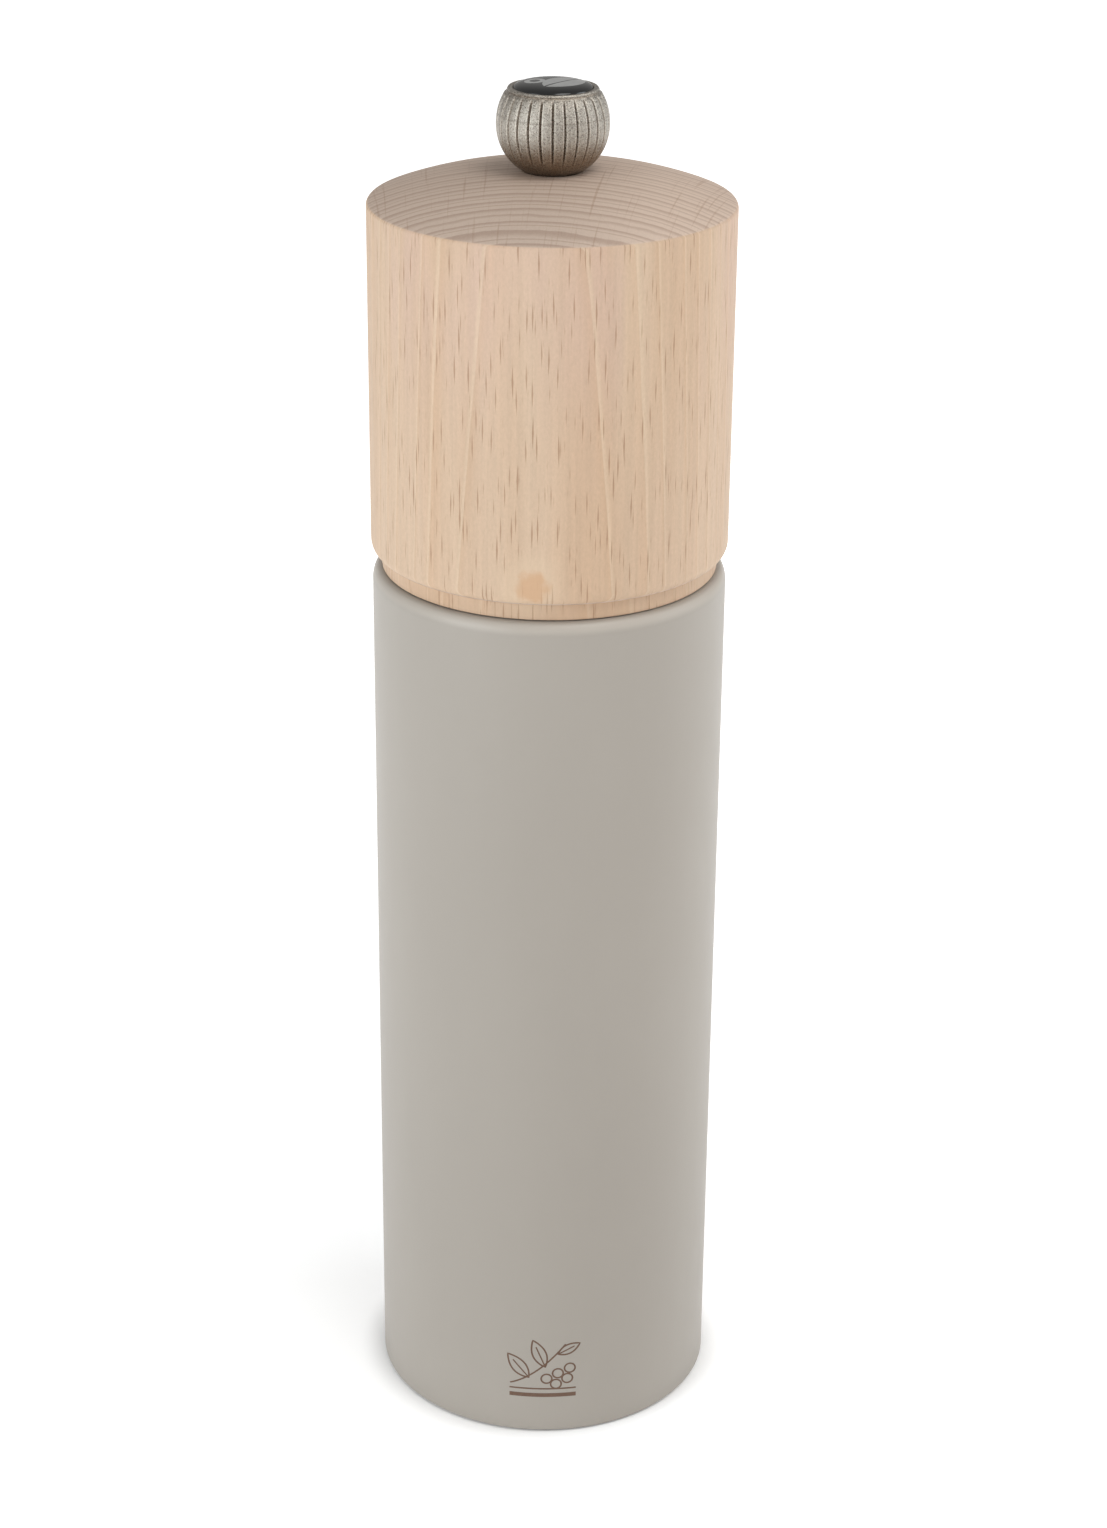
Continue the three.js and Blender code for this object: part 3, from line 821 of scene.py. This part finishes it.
def drive_shaft():
    """Square bar with a rolled thread on its round top and a round pin below."""
    side, square_top, thread, pin, pitch = 5.5, 187.5, 2.5, 2.0, 0.8
    bar = square_radius(side)
    stations = [(pin - 0.3, SHAFT_BOTTOM), (pin, SHAFT_BOTTOM + 0.3), (pin, ROTOR_BOTTOM)]
    stations += [(bar, ROTOR_BOTTOM), (bar, square_top - 0.2), (thread, square_top)]
    thread_start, thread_end = square_top + 1.0, SHAFT_TOP - 0.6
    rows = int((thread_end - thread_start) / pitch * 8)
    for row in range(rows + 1):
        height = thread_start + (thread_end - thread_start) * row / rows
        fade = min(1.0, row / 8, (rows - row) / 8 + 0.3)

        def threaded(angle, height=height, fade=fade):
            share = (height / pitch - angle / FULL_TURN) % 1.0
            return thread - 0.42 * fade * (1 - abs(2 * share - 1))

        stations.append((threaded, height))
    stations.append((thread - 0.6, SHAFT_TOP))
    piece = lofted("threaded_shaft", stations, columns=64, joined=False, sharp_angle=30)
    place(piece, "spindle", ALUMINIUM, ["drive_shaft"])


def rotor():
    """The turning burr: fine slanted teeth below, six spiral blades above."""
    shoulder, burr_tip, teeth, depth = 12.6, 11.2, 30, 0.5
    blades, blade_foot, blade_head, root_foot, root_head = 6, 10.0, 6.2, 7.7, 5.5
    hole = square_radius(6.1, 0.3)
    stations = [(hole, ROTOR_BOTTOM), (burr_tip - depth, ROTOR_BOTTOM)]
    burr_rows, blade_rows = 8, 14
    for i in range(burr_rows + 1):
        height = ROTOR_BOTTOM + 0.25 + (shoulder - ROTOR_BOTTOM - 0.25) * i / burr_rows
        tip = burr_tip - (height - STATOR_BOTTOM) * BURR_SLOPE
        turn = math.radians(3.0) * (height - ROTOR_BOTTOM)

        def fine(angle, tip=tip, turn=turn):
            return tip - depth * saw(turn - angle, teeth)

        stations.append((fine, height))
    for i in range(blade_rows + 1):
        share = i / blade_rows
        height = shoulder + 0.2 + (ROTOR_TOP - shoulder - 0.2) * share
        tip = blade_foot + (blade_head - blade_foot) * share
        root = root_foot + (root_head - root_foot) * share
        turn = math.radians(55) * share

        def blade(angle, tip=tip, root=root, turn=turn):
            return root + (tip - root) * saw(angle - turn, blades, 0.75) ** 1.5

        stations.append((blade, height))
    stations += [(5.3, ROTOR_TOP), (hole, ROTOR_TOP)]
    piece = lofted("rotor_burr", stations, columns=360, sharp_angle=30)
    place(piece, "spindle", BURR_STEEL, ["rotor"])


def spring_cup():
    """The shallow steel cup on the rotor that the spring sits in."""
    outer, bottom, top = node_span("spring_cup")
    inner = SHAFT_CLEAR_RADIUS
    wall = outer - 0.5
    floor_top = bottom + 0.8
    outline = [(inner, bottom), (outer, bottom), (outer, top)]
    outline += [(wall, top), (wall, floor_top), (inner, floor_top)]
    piece = lofted("spring_seat", rounded(outline, 0.18), columns=96)
    place(piece, "spindle", ZINC, ["spring_cup"])


# ---- Head ----


def head_block():
    """The turned beech head: domed end grain, crisp rim, soft lower edge, neck ring and spigot."""
    edge_radius = HEAD_RADIUS - HEAD_TOP_EDGE
    spigot = [
        (SHAFT_BORE_RADIUS, SPIGOT_BOTTOM),
        (SPIGOT_RADIUS, SPIGOT_BOTTOM),
        (SPIGOT_RADIUS, NECK_BOTTOM),
    ]
    neck = [
        (SPIGOT_RADIUS, NECK_BOTTOM),
        (NECK_RADIUS, NECK_BOTTOM),
        (NECK_RADIUS, HEAD_UNDERSIDE - 0.05),
    ]
    round_centre = (HEAD_RADIUS - HEAD_ROUND_WIDTH, HEAD_UNDERSIDE + HEAD_ROUND_HEIGHT)
    lower = arc(round_centre, (HEAD_ROUND_WIDTH, HEAD_ROUND_HEIGHT), -90, 0, 12)
    rim_centre = (edge_radius, HEAD_RIM - HEAD_TOP_EDGE)
    rim = arc(rim_centre, (HEAD_TOP_EDGE, HEAD_TOP_EDGE * 0.9), 0, 80, 6)
    dome = []
    dome_steps = 24
    for i in range(dome_steps + 1):
        radius = edge_radius + (DISH_RADIUS - edge_radius) * i / dome_steps
        rise = HEAD_CROWN * (1 - (radius / edge_radius) ** DOME_POWER)
        dome.append((radius, HEAD_RIM + rise))
    stations = rounded(spigot, 0.8, closed=False)
    stations += rounded(neck, 0.3, closed=False)[1:]
    stations += [(NECK_RADIUS + 0.1, HEAD_UNDERSIDE)] + lower + rim + dome
    stations += [
        (DISH_FLOOR_RADIUS, DISH_FLOOR),
        (THREAD_HOLE_RADIUS, DISH_FLOOR),
        (THREAD_HOLE_RADIUS, SHAFT_BORE_TOP),
        (SHAFT_BORE_RADIUS, SHAFT_BORE_TOP),
    ]
    piece = lofted("beech_head", stations)
    place(piece, "head", BEECH, ["head_block"])


# ---- Knob ----


def clamped(value):
    return min(1.0, max(0.0, value))


def flute_depth(around, height):
    """How far the knob lies inside the plain ball: in a groove, on a rounded land, or under the bead."""
    share = (around * KNOB_FLUTES / FULL_TURN + 0.5) % 1.0
    across = abs(share - 0.5) * 2
    land_top = FLUTE_TOP - LAND_ROUNDING * (1 - across) ** 2
    on_land = clamped((land_top - height) / 0.22)
    above_bead = clamped((height - BEAD_BOTTOM) / 0.12)
    above_foot = clamped((height - FLUTE_BOTTOM) / FLUTE_RUN_OUT)
    groove = 0.2 * max(0.0, 1 - (across / 0.17) ** 2)
    rounding = 0.12 * (1 - across) ** 2
    under_bead = (1 - on_land) * (1 - above_bead) * 0.16
    return on_land * above_foot * (groove + rounding) + under_bead


def knob_ball():
    """The fluted ball: upright lands with round upper ends, under a small bead that holds the badge."""
    ring_inner = BADGE_RADIUS + 0.06
    rows = 96
    low = math.asin((KNOB_FOOT - KNOB_CENTRE) / KNOB_RADIUS)
    high = math.asin((BEAD_TOP - KNOB_CENTRE) / KNOB_RADIUS)
    stations = [(KNOB_BORE, KNOB_FOOT)]
    for row in range(rows + 1):
        angle = low + (high - low) * row / rows
        height = KNOB_CENTRE + KNOB_RADIUS * math.sin(angle)
        taper = FOOT_TAPER * clamped((FOOT_TAPER_TOP - height) / FOOT_TAPER_HEIGHT) ** 2
        radius = KNOB_RADIUS * math.cos(angle) - taper

        def fluted(around, radius=radius, height=height):
            return radius - flute_depth(around, height)

        stations.append((fluted, height))
    bead_outside = stations[-1][0](0)
    seat = [
        (bead_outside, BEAD_TOP),
        (ring_inner, BEAD_TOP),
        (ring_inner, BADGE_SEAT),
        (KNOB_BORE, BADGE_SEAT),
    ]
    stations += rounded(seat, 0.15, closed=False)[1:]
    stations += [(0.001, BADGE_SEAT), (0.001, KNOB_BORE_TOP + 0.1), (KNOB_BORE, KNOB_BORE_TOP)]
    piece = lofted("fluted_knob", stations, columns=KNOB_FLUTES * 18)
    place(piece, "knob", NICKEL, ["knob_ball"])


def knob_badge():
    """The domed black badge, flat underneath."""
    outline = [
        (0.001, BADGE_BOTTOM),
        (BADGE_RADIUS - 0.1, BADGE_BOTTOM),
        (BADGE_RADIUS, BADGE_BOTTOM + 0.1),
    ]
    steps = 24
    for i in range(steps + 1):
        share = math.cos(math.radians(89 * i / steps))
        height = BADGE_EDGE + (MILL_TOP - BADGE_EDGE) * math.sqrt(1 - share**3)
        outline.append((BADGE_RADIUS * share, height))
    piece = lofted("domed_badge", outline, columns=128)
    place(piece, "knob", BADGE, ["knob_badge"])


def knob_insert():
    """The brass bush in the knob, closed at its top."""
    outer, bottom, top = node_span("knob_insert")
    hole, hole_top = THREAD_HOLE_RADIUS, top - 1.0
    outline = rounded([(hole, bottom), (outer, bottom), (outer, top)], 0.25, closed=False)
    outline += [(0.001, top), (0.001, hole_top), (hole, hole_top)]
    piece = lofted("threaded_insert", outline, columns=96)
    place(piece, "knob", BRASS, ["knob_insert"])


# ---- Mark on the body ----


def mark_point(x, z, lift):
    """A point of the flat drawing wrapped onto the body's front."""
    radius = BODY_RADIUS + lift
    angle = x / BODY_RADIUS
    return (radius * math.sin(angle), -radius * math.cos(angle), z)


def dense(points, closed):
    """The same line with no run longer than MARK_STEP, so that it follows the round body."""
    ends = points[1:] + points[:1] if closed else points[1:]
    result = []
    for (x, z), (next_x, next_z) in zip(points, ends):
        pieces = math.ceil(math.hypot(next_x - x, next_z - z) / MARK_STEP)
        for i in range(pieces):
            result.append((x + (next_x - x) * i / pieces, z + (next_z - z) * i / pieces))
    return result if closed else result + points[-1:]


def add_stroke(bm, points, width, closed=False):
    """A thin raised line along (x, z) points."""
    loops = []
    points = dense(points, closed)
    count = len(points)
    for i, (x, z) in enumerate(points):
        before = points[i - 1] if closed or i > 0 else points[i]
        after = points[(i + 1) % count] if closed or i < count - 1 else points[i]
        run = Vector((after[0] - before[0], after[1] - before[1])).normalized()
        side = Vector((-run.y, run.x)) * (width / 2)
        left = (x + side.x, z + side.y)
        right = (x - side.x, z - side.y)
        sunk = [mark_point(*right, -MARK_SUNK), mark_point(*left, -MARK_SUNK)]
        raised = [mark_point(*left, MARK_RAISED), mark_point(*right, MARK_RAISED)]
        loops.append(sunk + raised)
    add_skin(bm, loops, joined=closed)


def curve(start, bend, end, steps=14):
    """Points along a quadratic curve."""
    points = []
    for i in range(steps + 1):
        t = i / steps
        shares = ((1 - t) ** 2, 2 * t * (1 - t), t**2)
        x = start[0] * shares[0] + bend[0] * shares[1] + end[0] * shares[2]
        z = start[1] * shares[0] + bend[1] * shares[1] + end[1] * shares[2]
        points.append((x, z))
    return points


def leaf_outline(base, tip, belly):
    """A closed pointed leaf between two points."""
    run = Vector((tip[0] - base[0], tip[1] - base[1]))
    side = Vector((-run.y, run.x)) * belly
    middle = Vector(base) + run * 0.45
    upper = curve(base, tuple(middle + side), tip)
    lower = curve(tip, tuple(middle - side), base)
    return upper[:-1] + lower[:-1]


def body_mark():
    """A line drawing of a pepper sprig over a plain line and a bar."""
    bm = bmesh.new()
    for height, width in ((MARK_BOTTOM + 0.1, MARK_BAR), (MARK_BOTTOM + 1.3, MARK_LINE)):
        add_stroke(bm, [(-MARK_HALF_WIDTH, height), (MARK_HALF_WIDTH, height)], width)
    stem_bend = (-1.0, MARK_BOTTOM + 3.6)
    stem_tip = (3.6, MARK_BOTTOM + 9.6)
    add_stroke(bm, curve((-5.2, MARK_BOTTOM + 2.2), stem_bend, stem_tip, steps=20), MARK_LINE)
    leaves = [
        ((-2.2, 3.4), (-5.6, 7.6), 0.42),
        ((0.4, 5.4), (-1.6, 10.4), 0.40),
        ((2.4, 7.8), (5.9, 9.6), 0.42),
    ]
    for base, tip, belly in leaves:
        base = (base[0], base[1] + MARK_BOTTOM)
        tip = (tip[0], tip[1] + MARK_BOTTOM)
        add_stroke(bm, leaf_outline(base, tip, belly), MARK_LINE, closed=True)
        vein_end = (base[0] + (tip[0] - base[0]) * 0.75, base[1] + (tip[1] - base[1]) * 0.75)
        add_stroke(bm, [base, vein_end], MARK_LINE * 0.8)
    berries = [(0.6, 3.2), (2.1, 2.2), (2.4, 4.2), (3.9, 3.2), (4.3, 5.1)]
    for x, z in berries:
        berry = arc((x, z + MARK_BOTTOM), (0.85, 0.85), 0, 360, 24)[:-1]
        add_stroke(bm, berry, MARK_LINE, closed=True)
    piece = finished(bm, "sprig_mark")
    place(piece, "body", MARK, [])


# ---- Assembly ----

SCREW_NUMBERS = (1, 2, 3)

body_casing()
stator_ring()
keep_node("retaining_plate", ZINC)
keep_node("shaft_bridge", ZINC)
for number in SCREW_NUMBERS:
    node = f"plate_screw_{number}"
    screw(f"ledge_screw_{number}", node, "body", PLATE_SCREW_HEAD, number * 0.9)

top_washer()
spring()

drive_shaft()
rotor()
spring_cup()
keep_node("shaft_clip", SPRING_STEEL)

head_block()
keep_node("drive_plate", ZINC)
for number in SCREW_NUMBERS:
    node = f"drive_plate_screw_{number}"
    screw(f"head_screw_{number}", node, "head", DRIVE_SCREW_HEAD, number * 1.3)

knob_ball()
knob_insert()
knob_badge()
body_mark()

# ---- Floor, light and camera ----

FLOOR_HALF_SIZE = 4000.0
FLOOR_DROP = 0.2

COOL_WHITE = (0.88, 0.95, 1.0)
WARM_WHITE = (1.0, 0.985, 0.965)
PLAIN_WHITE = (1.0, 1.0, 1.0)
SURROUNDINGS_GLOW = 0.56
SURROUNDINGS_DIP = -0.2

CAMERA_DISTANCE = 443.66
CAMERA_HEIGHT = 301.73
CAMERA_TILT = math.radians(23.92)
CAMERA_PAN = math.radians(0.115)
CAMERA_ROLL = math.radians(0.514)
CAMERA_LENS = 74.25
SENSOR_LONG_SIDE = 36.0
CAMERA_NEAR = 10.0


def floor():
    """White paper that glows as painted light, glowing more the farther it lies from the mill and its
    contact shadow.
    """
    bm = bmesh.new()
    bmesh.ops.create_grid(bm, x_segments=8, y_segments=8, size=FLOOR_HALF_SIZE * MM)
    plane = finished(bm, "studio_floor")
    plane.location.z = -FLOOR_DROP * MM
    g = Surface("studio_white")
    paper = g.noise(g.stretched(0.02, 0.02, 0.02))
    x, y, _ = g.split(g.place)
    radius = g.math("SQRT", x * x + y * y)
    # Painted light: the paper's glow fills in its contact shadow, more behind the mill than in front.
    behind = g.step(y, -70.0, 15.0)
    near = g.step(radius, 24.0, 31.0) * (behind * 0.22 + 0.19)
    lit = near + g.step(radius, 40.0, 300.0) * 0.25
    white = g.brightened(PAPER_WHITE, paper * 0.01 + 0.99)
    glow = (*PLAIN_WHITE, 1.0)
    g.set(base_color=white, roughness=0.9, emission_color=glow, emission_strength=lit)
    plane.data.materials.append(g.material)


def area_light(name, size, power, color, location):
    """A round soft light that faces the mill. Its size and place are in metres."""
    light = bpy.data.lights.new(name, "AREA")
    light.shape = "DISK"
    light.size = size
    light.energy = power
    light.color = color
    lamp = bpy.data.objects.new(name, light)
    lamp.location = location
    middle = Vector((0, 0, MILL_TOP * MM / 2))
    lamp.rotation_euler = (middle - lamp.location).to_track_quat("-Z", "Y").to_euler()
    bpy.context.collection.objects.link(lamp)


def studio():
    """White surroundings, dimmer in front and behind, with a softbox on each side and one above."""
    world = bpy.data.worlds.new("white_studio")
    world.use_nodes = True
    tree = Nodes(world.node_tree)
    direction = Value(tree, tree.node("ShaderNodeTexCoord").outputs["Generated"])
    front = tree.math("MAXIMUM", tree.dot(direction, (0, -1, 0.1)), 0.0)
    behind = tree.math("MAXIMUM", tree.dot(direction, (0, 0.8, 0.6)), 0.0)
    glow = (front * front + behind * behind) * SURROUNDINGS_DIP + SURROUNDINGS_GLOW
    background = world.node_tree.nodes["Background"]
    background.inputs["Color"].default_value = (*WARM_WHITE, 1.0)
    tree.feed(background.inputs["Strength"], glow)
    bpy.context.scene.world = world
    area_light("left_softbox", 0.8, 6.9, COOL_WHITE, (-0.95, -0.73, 0.45))
    area_light("right_softbox", 0.7, 3.9, COOL_WHITE, (1.12, 0.05, 0.65))
    area_light("top_softbox", 0.7, 5.0, WARM_WHITE, (0.4, -0.45, 1.2))


def camera():
    """The camera in front of the mill and above it, looking down and very slightly rolled."""
    forward = Vector(
        (
            math.sin(CAMERA_PAN) * math.cos(CAMERA_TILT),
            math.cos(CAMERA_PAN) * math.cos(CAMERA_TILT),
            -math.sin(CAMERA_TILT),
        )
    )
    right = forward.cross(Vector((0, 0, 1))).normalized()
    up = right.cross(forward)
    rolled_right = right * math.cos(CAMERA_ROLL) + up * math.sin(CAMERA_ROLL)
    rolled_up = up * math.cos(CAMERA_ROLL) - right * math.sin(CAMERA_ROLL)
    data = bpy.data.cameras.new("camera")
    data.sensor_width = SENSOR_LONG_SIDE
    data.lens = CAMERA_LENS
    data.clip_start = CAMERA_NEAR * MM
    holder = bpy.data.objects.new("camera", data)
    standpoint = Vector((0, -CAMERA_DISTANCE, CAMERA_HEIGHT)) * MM
    rotation = Matrix((rolled_right, rolled_up, -forward)).transposed().to_4x4()
    holder.matrix_world = Matrix.Translation(standpoint) @ rotation
    bpy.context.collection.objects.link(holder)
    bpy.context.scene.camera = holder


floor()
studio()
camera()
bpy.context.scene.view_settings.view_transform = "Standard"
